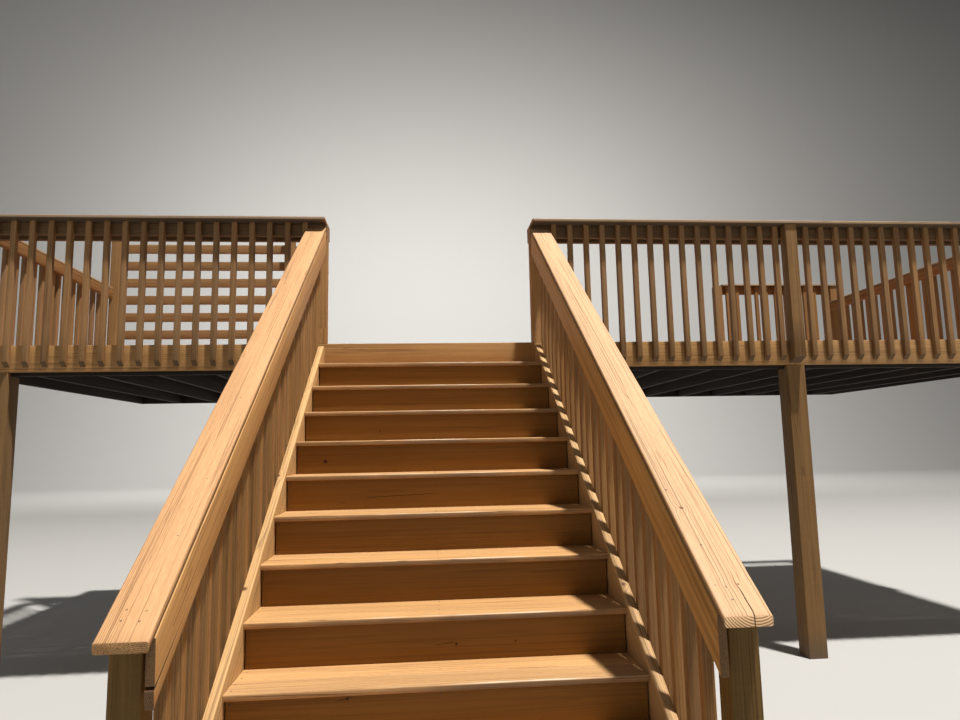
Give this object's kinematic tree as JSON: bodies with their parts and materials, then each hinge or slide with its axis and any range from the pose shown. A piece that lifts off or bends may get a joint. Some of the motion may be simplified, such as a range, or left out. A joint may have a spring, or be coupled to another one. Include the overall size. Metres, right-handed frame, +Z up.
{
  "type": "wooden deck stairs",
  "caption": "Wide wooden stair flight with closed risers, side stringers and sloping railings, climbing to a raised deck with level railings and a slatted screen.",
  "frame": {"origin": "on the back face of the ledger, on the centre line of the stairs and at half the ledger's height", "axes": "+X along the deck front, to the right when facing the stairs; +Y level, from the foot of the stairs towards the ledger; +Z up"},
  "size_m": [8.294, 6.085, 3.914],
  "materials": {
    "sunlit_boards": "warm tan solid stain, worn, grain and small cracks showing",
    "riser_boards": "brown solid stain, smoother than the treads",
    "rails_and_fascia": "tan brown solid stain, weathered",
    "balusters": "tan brown solid stain, weathered",
    "posts": "olive brown solid stain with long drying cracks",
    "frame_lumber": "dark weathered framing lumber",
    "fasteners": "dull galvanised nail and bolt heads"
  },
  "bodies": {
    "root": {"stringer_left": "rails_and_fascia", "stringer_right": "rails_and_fascia", "carriage_1": "frame_lumber", "carriage_2": "frame_lumber", "carriage_3": "frame_lumber", "tread_01": "sunlit_boards", "tread_02": "sunlit_boards", "tread_03": "sunlit_boards", "tread_04": "sunlit_boards", "tread_05": "sunlit_boards", "tread_06": "sunlit_boards", "tread_07": "sunlit_boards", "tread_08": "sunlit_boards", "tread_09": "sunlit_boards", "tread_10": "sunlit_boards", "tread_11": "sunlit_boards", "tread_12": "sunlit_boards", "risers": "riser_boards", "stair_header": "riser_boards", "stair_cap_left": "sunlit_boards", "stair_cap_right": "sunlit_boards", "stair_rail_left": "rails_and_fascia", "stair_rail_right": "rails_and_fascia", "stair_rail_strips": "rails_and_fascia", "stair_balusters_left": "balusters", "stair_balusters_right": "balusters", "foot_posts": "posts", "head_posts": "posts", "head_blocks": "rails_and_fascia", "fascia_front": "rails_and_fascia", "fascia_sides": "rails_and_fascia", "rim_joists": "frame_lumber", "ledger": "frame_lumber", "joists": "frame_lumber", "decking": "sunlit_boards", "support_posts": "posts", "deck_caps": "sunlit_boards", "deck_rails": "rails_and_fascia", "rail_posts": "posts", "balusters_front_left": "balusters", "balusters_front_right": "balusters", "balusters_side_left": "balusters", "balusters_side_right": "balusters", "balusters_back": "balusters", "screen_posts": "posts", "screen_slats": "rails_and_fascia"}
  },
  "joints": []
}
